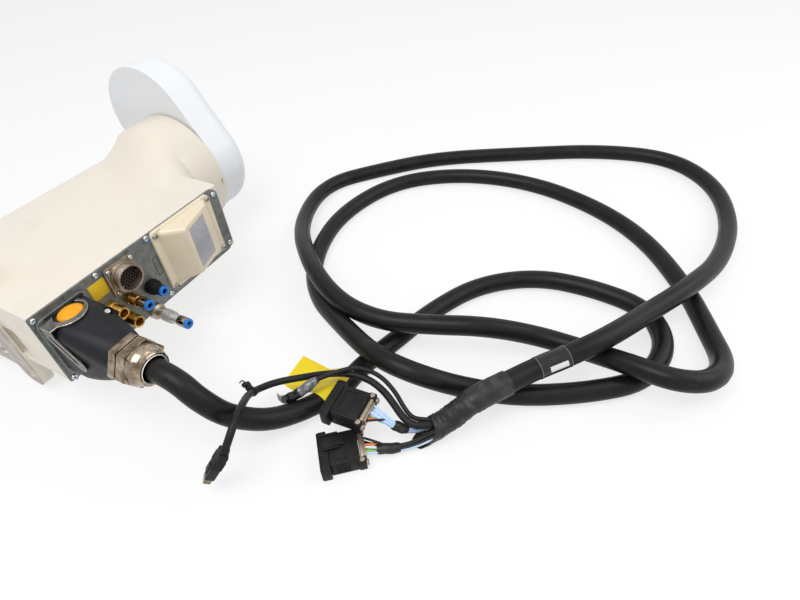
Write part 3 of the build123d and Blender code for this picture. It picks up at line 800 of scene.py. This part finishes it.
def makeGrip(look):
    bm = bmesh.new()
    axis = placeAt(*look["middle"])
    frames = [(axis @ mm(look["length"] * index / 6, 0, 0), *Matrix.Identity(3)) for index in range(7)]

    def radiusAt(part, angle):
        swell = 1 - look["swell"] + look["swell"] * math.sin(math.pi * part)
        return look["radius"] * swell + look["rise"] * (1 if math.cos(look["ribs"] * angle) > 0 else 0)

    shapedTube(bm, frames, radiusAt, 72)
    lathe(bm, look["barrel"], axis, 32)
    pieceFrom(bm, "blackFittingGrip", "black_plastic", replaced=("black_push_in_body",))


makeGrip(grip)


# Cords: their radii, and their routes in millimetres
cordRadius = {"main": 0.0118, "thin": 0.0039, "spare": 0.0025, "wire": 0.00125}
lie = -94.2  # where the main cable's middle lies on the floor
mainRoute = metres([
    (262, 34, 0), (287, 34, 0), (309, 34, -20), (326, 46, -54), (350, 80, -88),
    (384, 140, lie), (387, 185, lie), (402, 232, lie), (421, 301, lie), (455, 370, lie),
    (518, 416, lie), (589, 425, lie), (660, 414, lie), (691, 361, lie), (677, 300, lie),
    (629, 260, lie), (564, 223, lie), (506, 204, -90), (459, 181, -65), (409, 184, -64),
    (345, 215, -72), (269, 262, -93), (218, 331, lie), (195, 437, lie), (228, 553, lie),
    (320, 619, lie), (435, 639, lie), (546, 610, lie), (630, 556, lie), (695, 470, lie),
    (729, 402, lie), (748, 351, -86), (735, 304, -70), (701, 285, -64), (660, 291, -67),
    (609, 307, -84), (552, 304, -82), (500, 276, -64), (443, 252, -64), (385, 232, -64),
    (323, 238, -60), (252, 282, -60), (158, 379, -86), (121, 502, lie), (191, 585, lie),
    (265, 656, lie), (390, 722, lie), (513, 783, lie), (625, 801, lie), (699, 742, lie),
    (731, 644, lie), (725, 526, -82), (692, 433, -64), (663, 380, -64), (632, 307, -49),
    (600, 266, -54), (574, 241, -61), (557, 216, -61), (541, 192, -61),
])
shrinkRoute = metres([(541, 192, -61), (531, 177, -61), (519, 163, -73), (506, 150, -86), (496, 140, -91)])
leadRoute = metres([
    (504, 148, -84), (493, 138, -81), (483, 132, -80), (470, 134, -77), (456, 142, -74), (440, 150, -70),
    (420, 155, -67), (396, 152, -65), (370, 143, -70), (344, 134, -80), (320, 116, -81),
    (313, 96, -74), (319, 78, -59), (333, 60, -43), (344, 42, -32), (351, 25, -35), (350, 12, -48),
])
spareRoute = metres([
    (502, 150, -82), (488, 143, -81), (478, 139, -79), (466, 144, -75), (450, 155, -70), (428, 163, -64),
    (404, 159, -58), (387, 144, -58), (371, 129, -63),
])
tailRoute = metres([(371, 129, -63), (360, 115, -72), (348.5, 103, -79), (334, 103, -90), (322, 111, -95)])
bundleRoutes = {
    "1": metres([(501, 135, -91), (493, 127, -95), (480, 116, -99), (464, 105, -97), (449, 95, -95.5)]),
    "2": metres([(491, 145, -91), (483, 137, -95), (470, 128, -88), (457, 122, -75), (443, 120, -71.5)]),
}


mainCable = cord("mainCable", mainRoute, cordRadius["main"], 10, "cable_jacket", replaced=("main_cable",))
thinLead = cord("thinLead", leadRoute, cordRadius["thin"], 10, "lead_jacket", replaced=("thin_lead",))
spareLead = cord("spareLead", spareRoute, cordRadius["spare"], 10, "lead_jacket", replaced=("spare_lead",))
mainLine = linePoints(mainRoute)
mainEnd = lengthOf(mainLine)
print("cords laid")


# The heat-shrink sleeve: a step where it grips the cable, a second step, wrinkles, and a mouth
# whose lower lip lies out on the floor under the wires
sleeve = {"rings": 110, "steps": 64, "lap": 0.020, "wall": 0.0011, "rest": 0.0005, "wrinkle": 0.0007,
          "firstRadius": 0.0133, "secondRadius": 0.0127, "stepAt": 0.46, "flareFrom": 0.85, "flare": 0.0006,
          "lipFrom": 0.70, "lip": 0.024, "back": 0.009, "stepWave": 0.015, "firstWrinkle": 0.35,
          "folds": ((0.7, 26, 1.6, 0), (0.9, 8, 0.8, 7)), "crease": (1.2, 15, 2.2, 3), "creaseFrom": 0.2}


def makeSleeve(look):
    after = linePoints(shrinkRoute)
    path = evenPoints(mainLine, mainEnd - look["lap"], mainEnd, 14)[:-1] + evenPoints(after, 0, lengthOf(after), 60)
    frames = framesOn(path, 0, lengthOf(path), look["rings"])
    lipFrom, wall = look["lipFrom"], look["wall"]

    def bumps(part, angle, along, around, shift):
        return noise.noise(Vector((part * along + shift, math.cos(angle) * around, math.sin(angle) * around)))

    def radiusAt(part, angle):
        first = part < look["stepAt"] + look["stepWave"] * math.sin(3 * angle)
        flare = look["flare"] * max(0, (part - look["flareFrom"]) / (1 - look["flareFrom"]))
        folds = sum(height * bumps(part, angle, *spread) for height, *spread in look["folds"])
        height, *spread = look["crease"]
        crease = height * (abs(bumps(part, angle, *spread)) - look["creaseFrom"])
        amount = look["wrinkle"] * (look["firstWrinkle"] if part < look["stepAt"] else 1.0)
        return look["firstRadius" if first else "secondRadius"] + flare + amount * (folds + crease)

    def reachAt(part, angle):
        away = max(0, (part - lipFrom) / (1 - lipFrom)) ** 1.4
        low = (0.5 - 0.5 * math.sin(angle)) ** 1.6
        return away * (look["lip"] * low - look["back"] * (1 - low))

    def fromLip(part):
        return lipFrom + (1 - lipFrom) * part

    bm = bmesh.new()
    outer = shapedTube(bm, frames, radiusAt, look["steps"], reachAt, (True, False))
    inner = shapedTube(bm, frames[-33:], lambda part, angle: radiusAt(fromLip(part), angle) - wall,
                       look["steps"], lambda part, angle: reachAt(fromLip(part), angle), (True, False))
    for rings, lift in ((outer, look["rest"]), (inner, look["rest"] + wall)):
        for vert in (vert for ring in rings for vert in ring):
            vert.co.z = max(vert.co.z, floorZ + lift)
    bridge(bm, (outer[-1], inner[-1]))
    return pieceFrom(bm, "wrinkledSleeve", "shrink_sleeve", replaced=("shrink_tube",))


wrinkledSleeve = makeSleeve(sleeve)


# A clear sleeve on the cable with a small bare label under it
clearSleeve = {"edges": (0.0915, 0.0575), "grow": 0.0004, "rim": 0.0003, "rimRise": 0.0002,
               "label": (0.0875, 0.0675), "turn": (2.50, 3.02), "labelLifts": (-0.0002, 0.0003)}


def makeClearSleeve(look):
    radius = cordRadius["main"] + look["grow"]
    start, end = [mainEnd - edge for edge in look["edges"]]
    bm = bmesh.new()
    shapedTube(bm, framesOn(mainLine, start, end, 24), lambda part, angle: radius, 48)
    tube = pieceFrom(bm, "clearSleeve", "shrink_sleeve", "glossyBlack")
    bm = bmesh.new()
    for edge in (start, end):
        shapedTube(bm, framesOn(mainLine, edge - look["rim"], edge + look["rim"], 4),
                   lambda part, angle: radius + look["rimRise"], 48)
    rims = pieceFrom(bm, "clearSleeveRims", "shrink_sleeve", "clearEdge")
    bm = bmesh.new()
    first, last = look["turn"]
    rows = []
    for point, ahead, side, up in framesOn(mainLine, *(mainEnd - edge for edge in look["label"]), 8):
        row = []
        for angle in (first + (last - first) * step / 8 for step in range(9)):
            out = side * math.cos(angle) + up * math.sin(angle)
            row.append([bm.verts.new(point + out * (radius + lift)) for lift in look["labelLifts"]])
        rows.append(row)
    closeSheet(bm, rows)
    return [tube, rims, pieceFrom(bm, "cableLabel", "white_rubber", "whiteLabel")]


clearPieces = makeClearSleeve(clearSleeve)
print("sleeves made")


# The loose wires between the sleeve and the control plugs, gathered by short black sleeves
plugs = {
    "1": {"place": (428, 82, -95.5), "turn": 41, "gather": (0.50, 0.86),
          "wires": [("blackWire", 95, 10), ("blackWire", 140, 7), ("blackWire", 55, 4), ("orangeWire", 10, 1.5),
                    ("greenWire", 255, -2), ("limeWire", 220, -5), ("wires", 185, -8.5)]},
    "2": {"place": (418, 118, -71.5), "turn": 5, "gather": (0.34, 0.62),
          "wires": [("wires", 75, 9.5), ("wires", 120, 6.5), ("wires", 165, 3.5), ("wires", 215, 1),
                    ("greenWire", 265, -2.5), ("orangeWire", 320, -6), ("blackWire", 20, -9.5)]},
}
# How far a wire keeps from its bundle's middle at each part of the way, and the sleeve's radius
wire = {"spread": ((0.0, 0.0042), (0.18, 0.0036), (0.34, 0.0030), (0.5, 0.0030), (0.66, 0.0030), (0.85, 0.0048)),
        "start": 0.014, "wave": 0.0015, "end": 22.5, "lead": 0.009, "bend": 0.55, "sleeve": 0.0056,
        "sleeveWave": 0.05, "sleeveTaper": 0.18}


def plugPlace(plug):
    return placeAt(*plug["place"]) @ Matrix.Rotation(math.radians(plug["turn"]), 4, "Z")


def makeWires(number, plug):
    line = linePoints(bundleRoutes[number])
    total = lengthOf(line)
    frames = framesAlong([pointAt(line, total * part) for part, reach in wire["spread"]])
    place = plugPlace(plug)
    outward = (place.to_3x3() @ Vector((1, 0, 0))).normalized()
    made = []
    for index, (look, degrees, spot) in enumerate(plug["wires"]):
        angle = math.radians(degrees)
        route = [point + (side * math.cos(angle) + up * math.sin(angle)) * reach
                 for (point, ahead, side, up), (part, reach) in zip(frames, wire["spread"])]
        last = place @ mm(wire["end"], spot, 0) + Vector((0, 0, wire["wave"] * math.cos(index * 2.2)))
        route[-1] = route[-1].lerp(last + outward * wire["lead"], wire["bend"])
        route[0] = route[0] - frames[0][1] * wire["start"]
        made.append(cord(f"wire{number}{index + 1}", route + [last], cordRadius["wire"], 8, "wires", look,
                         (f"wire_bundle_{number}",)))
    start, end = plug["gather"]
    bm = bmesh.new()
    shapedTube(bm, framesOn(line, total * start, total * end, 14),
               lambda part, angle: wire["sleeve"] * (1 + wire["sleeveWave"] * math.sin(part * 11 + angle)
                                                     - wire["sleeveTaper"] * abs(2 * part - 1) ** 4), 32)
    made.append(pieceFrom(bm, f"wireSleeve{number}", "shrink_sleeve"))
    return made


wirePieces = makeWires("1", plugs["1"]) + makeWires("2", plugs["2"])
print("wires made")


# Control plugs: each block is its size, its place on the plug and how soft its edges are, and a block with a
# True is there on both sides
plugBlocks = {
    "shell": [((30, 36, 20), (1, 0, 0), 1.1, False), ((8.5, 44, 20.5), (-18.3, 0, 0.4), 0.8, False),
              ((1.6, 2.0, 19), (-23.2, 20.6, 0.4), 0.3, True), ((12, 1.5, 0.9), (-3, 13, 10.2), 0.3, True),
              ((8, 7, 15), (17.5, 17.2, 0), 1, True)]
             + [((1.6, 40, 2.2), (-23.2, 0, z), 0.3, False) for z in (-8.6, 9.4)]
             + [((1.5, 27, 0.9), (x, 0, 10.2), 0.3, False) for x in (-9.5, 3.5)]
             + [((14, 1.1, 1.6), (-2, 18.2, -6 + 4 * rib), 0.3, True) for rib in range(4)]
             + [((1.6, 1.4, 17), (-23.2, -14 + 7 * slot, 0.4), 0.2, False) for slot in range(5)],
    "latch": [((22, 13, 2.6), (-8, 8, 11.1), 0.8, False), ((18, 2.2, 3.8), (-11, -0.2, 11.2), 0.6, False),
              ((18, 2.2, 3.8), (-11, 16.2, 11.2), 0.6, False)]
             + [((1.2, 13, 1.4), (-1 - 2.6 * rib, 8, 12.2), 0.3, False) for rib in range(4)],
    "clamp": [((4.2, 27.5, 12.5), (18.6, 0, 0.6), 0.9, False), ((2.2, 24, 9), (21.6, 0, 0), 0.7, False)],
}
plugScrews = {"side": ((0, 0), (0, 3.4), (2.2, 3.4), (3.0, 2.6), (3.0, (1.3,)), (1.4, (1.3,)), (1.4, 0)),
              "top": ((0, 0), (0, 2.8), (1.2, 2.8), (1.8, 2), (1.8, 0))}


def makePlug(number, plug):
    place = plugPlace(plug)

    def addBlocks(bm, blocks):
        for size, (x, y, z), soft, bothSides in blocks:
            for side in (-1, 1) if bothSides else (1,):
                block(bm, size, place @ placeAt(x, side * y, z), soft)

    bm = bmesh.new()
    addBlocks(bm, plugBlocks["shell"])
    if number == "1":
        addBlocks(bm, plugBlocks["latch"])
    shell = pieceFrom(bm, f"controlPlug{number}", "black_plastic", replaced=(f"control_plug_{number}",))
    bm = bmesh.new()
    addBlocks(bm, plugBlocks["clamp"])
    for side in (-17.2, 17.2):
        lathe(bm, plugScrews["side"], place @ placeAt(20.9, side, 0), 24)
        lathe(bm, plugScrews["top"], place @ placeAt(17.5, side, 7.2) @ upright, 20)
    clamp = pieceFrom(bm, f"plugClamp{number}", "nickel", "clampMetal", replaced=(f"plug_clamp_{number}",))
    return [shell, clamp]


plugPieces = makePlug("1", plugs["1"]) + makePlug("2", plugs["2"])
print("control plugs made")


# The spare lead's end, wound in glossy black tape down to a thin curled tip; near the lead the tape has painted
# silver reflections
tail = {"rings": 70, "steps": 28, "split": 23, "start": 0.0030, "swell": 0.0027, "ripple": 0.0003, "wind": 0.0002,
        "least": 0.0006, "swellTo": 0.12, "tip": 0.42, "flat": 0.15}


def makeTail(look):
    line = linePoints(tailRoute)
    frames = framesOn(line, 0, lengthOf(line), look["rings"])
    last = look["rings"] - 1

    def radiusAt(part, angle):
        body = look["start"] + look["swell"] * min(1, part / look["swellTo"]) + look["ripple"] * math.sin(part * 40)
        wind = look["wind"] * ((part * 7 + angle / math.tau) % 1)
        tip = min(1, (1 - part) / look["tip"]) ** 0.7
        return max(look["least"], (body + wind) * tip * (1 - look["flat"] * part * abs(math.cos(angle))))

    made = []
    for name, start, end, finish in (("tailTape", 0, look["split"], "blackTapePaintedReflections"),
                                     ("tapedTail", look["split"], last, "glossyBlack")):
        bm = bmesh.new()
        shapedTube(bm, frames[start:end + 1],
                   lambda part, angle: radiusAt((start + (end - start) * part) / last, angle), look["steps"])
        made.append(pieceFrom(bm, name, "shrink_sleeve", finish, replaced=("spare_lead_tail",)))
    return made


tailPieces = makeTail(tail)


# Tie round the thin lead: a band, then a knot of the looped end standing off it
tie = {"at": 0.235, "radius": 0.0047, "crown": 0.0004, "width": 0.0055, "lean": (-1.16, 0.15, 0.79),
       "strip": 0.0007,
       "knot": (((6.5, 6.5, 6), (0, 0, 5.5), 1.4), ((5.12, 5, 6.4), (-3.6, 0, 10), 1.8),
                ((4.64, 5, 5.8), (3.4, 0, 11), 1.8), ((4.8, 5, 6), (0, 0, 8.5), 1.8)),
       "end": ((-2, 0, 11), (-3, 0.5, 15), (0, 1, 17.5), (4.5, 1.5, 16))}


def makeTie(look):
    frames = framesOn(linePoints(leadRoute), look["at"], look["at"] + look["width"], 6)
    bm = bmesh.new()
    shapedTube(bm, frames, lambda part, angle: look["radius"] + look["crown"] * math.sin(math.pi * part), 32)
    point, ahead, side, up = frames[3]
    out = Vector(look["lean"])
    out = (out - ahead * out.dot(ahead)).normalized()
    place = Matrix.Translation(point) @ Matrix((ahead, ahead.cross(out), out)).transposed().to_4x4()
    for size, middle, soft in look["knot"]:
        block(bm, size, place @ placeAt(*middle), soft)
    knot = pieceFrom(bm, "cableTie", "black_plastic")
    route = [place @ mm(*spot) for spot in look["end"]]
    return [knot, cord("tieEnd", route, look["strip"], 6, "black_plastic")]


tiePieces = makeTie(tie)


# The small plug: a ribbed grip behind the metal mouth
smallPlug = {"start": (350, 12, -48), "along": (-25, -20, -45), "across": (0.63, -0.78, 0),
             "body": ((14.6, 9.6, 39), 20, 1.2), "window": ((6.5, 11.8, 13), 29, 0.8), "rib": (15.2, 10.2, 1.3),
             "ribsFrom": 9, "ribPitch": 2.8, "ribSoft": 0.4,
             "sleeve": ((-4, 0), (-4, 4.0), (2, 5.2), (4, 5.2), (4, 0))}


def makeSmallPlug(look):
    along = Vector(look["along"]).normalized()
    across = Vector(look["across"])
    across = (across - along * across.dot(along)).normalized()
    place = placeAt(*look["start"]) @ Matrix((across, along.cross(across), along)).transposed().to_4x4()
    bm = bmesh.new()
    ribs = [(look["rib"], look["ribsFrom"] + look["ribPitch"] * step, look["ribSoft"]) for step in range(5)]
    for size, height, soft in (look["body"], *ribs, look["window"]):
        block(bm, size, place @ placeAt(0, 0, height), soft)
    lathe(bm, look["sleeve"], place @ upright, 20)
    return pieceFrom(bm, "smallPlugGrip", "black_plastic", replaced=("lead_plug",))


smallPlugGrip = makeSmallPlug(smallPlug)

# The yellow tag lies on the floor and slopes up over the cable, clear of its middle
tag = {"corners": ((311.6, 130.6), (392, 118.5), (389, 169), (308.6, 176.3)), "thick": 0.0004, "slope": 0.75,
       "clear": 0.0124, "rest": 0.0003, "steps": (36, 14), "cable": (0.08, 0.32)}


def makeTag(look):
    near = evenPoints(mainLine, *look["cable"], 120)
    slope, clear = look["slope"], look["clear"]
    lean = math.hypot(1, slope)
    low, lowEnd, highEnd, high = [Vector(corner) / 1000 for corner in look["corners"]]

    def heightAt(spot):
        middle = min(near, key=lambda point: (point.xy - spot).length)
        away = (middle.xy - spot).length
        over = clear * lean - slope * away
        if away < clear * slope / lean:
            over = math.sqrt(clear * clear - away * away)
        return max(floorZ + look["rest"], middle.z + over)

    bm = bmesh.new()
    along, across = look["steps"]
    rows = []
    for row in range(along + 1):
        lower, upper = low.lerp(lowEnd, row / along), high.lerp(highEnd, row / along)
        spots = [lower.lerp(upper, column / across) for column in range(across + 1)]
        rows.append([[bm.verts.new((*spot, heightAt(spot) + lift)) for lift in (0, look["thick"])]
                     for spot in spots])
    closeSheet(bm, rows)
    pieceFrom(bm, "bareTag", "yellow_label", replaced=("yellow_tag",))


makeTag(tag)

print("tail, tie, small plug and tag made, and the cords declared")


# Camera, light and floor

camera = {"place": (0.6444, -0.1353, 0.3863), "right": (0.87844, 0.47387, -0.06158),
          "up": (-0.28551, 0.62382, 0.72755), "back": (0.38318, -0.62153, 0.68328), "lens": 24.435}


def setCamera(look):
    data = bpy.data.cameras.new("camera")
    data.lens = look["lens"]
    data.sensor_width = 36
    data.clip_start = 0.01
    made = linked("camera", data)
    turn = Matrix((look["right"], look["up"], look["back"])).transposed().to_4x4()
    made.matrix_world = Matrix.Translation(look["place"]) @ turn
    bpy.context.scene.camera = made


floorLook = {"reach": 6.0, "colour": (0.9, 0.9, 0.9), "rough": 0.9, "specular": 0.1, "whiteToCamera": 0.72}


# One where a ray comes from the camera, off a glossy surface or through glass
def backgroundRays(tree):
    path = addNode(tree, "ShaderNodeLightPath")
    either = addNode(tree, "ShaderNodeMath", operation="MAXIMUM")
    shown = addNode(tree, "ShaderNodeMath", operation="MAXIMUM")
    joinAll(tree, [(path, "Is Camera Ray", either, 0), (path, "Is Glossy Ray", either, 1),
                   (either, "Value", shown, 0), (path, "Is Transmission Ray", shown, 1)])
    return shown


# The camera sees the floor as nearly white, and the object's shadow stays on it
def floorMaterial(look):
    made = bpy.data.materials.new("floorWhite")
    made.use_nodes = True
    tree = made.node_tree
    shader = tree.nodes["Principled BSDF"]
    shader.inputs["Base Color"].default_value = rgba(look["colour"])
    shader.inputs["Roughness"].default_value = look["rough"]
    shader.inputs["Specular IOR Level"].default_value = look["specular"]
    white = addNode(tree, "ShaderNodeEmission", {"Color": (1, 1, 1, 1), "Strength": 1.0})
    share = addNode(tree, "ShaderNodeMath", {1: look["whiteToCamera"]}, operation="MULTIPLY")
    mix = addNode(tree, "ShaderNodeMixShader")
    joinAll(tree, [(backgroundRays(tree), "Value", share, 0), (share, "Value", mix, "Fac"),
                   (shader, "BSDF", mix, 1), (white, "Emission", mix, 2),
                   (mix, "Shader", tree.nodes["Material Output"], "Surface")])
    return made


def makeFloor(look):
    mesh = bpy.data.meshes.new("floor")
    reach = look["reach"]
    corners = [(-reach, -reach, floorZ), (reach, -reach, floorZ), (reach, reach, floorZ), (-reach, reach, floorZ)]
    mesh.from_pydata(corners, [], [(0, 1, 2, 3)])
    mesh.materials.append(floorMaterial(look))
    linked("floor", mesh)


lamps = {
    "keyLamp": {"place": (0.3, -0.5, 1.8), "target": (0.2, 0.2, 0), "size": 1.2, "power": 22},
    "fillLamp": {"place": (1.6, 1.0, 1.2), "target": (0.3, 0.3, 0), "size": 1.5, "power": 12},
}


def softLamp(name, look):
    data = bpy.data.lights.new(name, "AREA")
    data.shape = "SQUARE"
    data.size = look["size"]
    data.energy = look["power"]
    made = linked(name, data)
    made.location = look["place"]
    made.rotation_euler = (Vector(look["target"]) - Vector(look["place"])).to_track_quat("-Z", "Y").to_euler()


worldGlow = {"colour": (0.96, 0.98, 1), "strength": 0.55}


def makeWorld(look):
    world = bpy.data.worlds.new("world")
    bpy.context.scene.world = world
    world.use_nodes = True
    tree = world.node_tree
    tree.nodes.clear()
    output = addNode(tree, "ShaderNodeOutputWorld")
    seen = addNode(tree, "ShaderNodeBackground", {"Color": (1, 1, 1, 1), "Strength": 1.0})
    glow = addNode(tree, "ShaderNodeBackground", {"Color": rgba(look["colour"]), "Strength": look["strength"]})
    mix = addNode(tree, "ShaderNodeMixShader")
    joinAll(tree, [(backgroundRays(tree), "Value", mix, "Fac"), (glow, "Background", mix, 1),
                   (seen, "Background", mix, 2), (mix, "Shader", output, "Surface")])


setCamera(camera)
makeFloor(floorLook)
makeWorld(worldGlow)
for name, look in lamps.items():
    softLamp(name, look)
bpy.context.scene.view_settings.view_transform = "Standard"
print("camera, lamps and floor set")
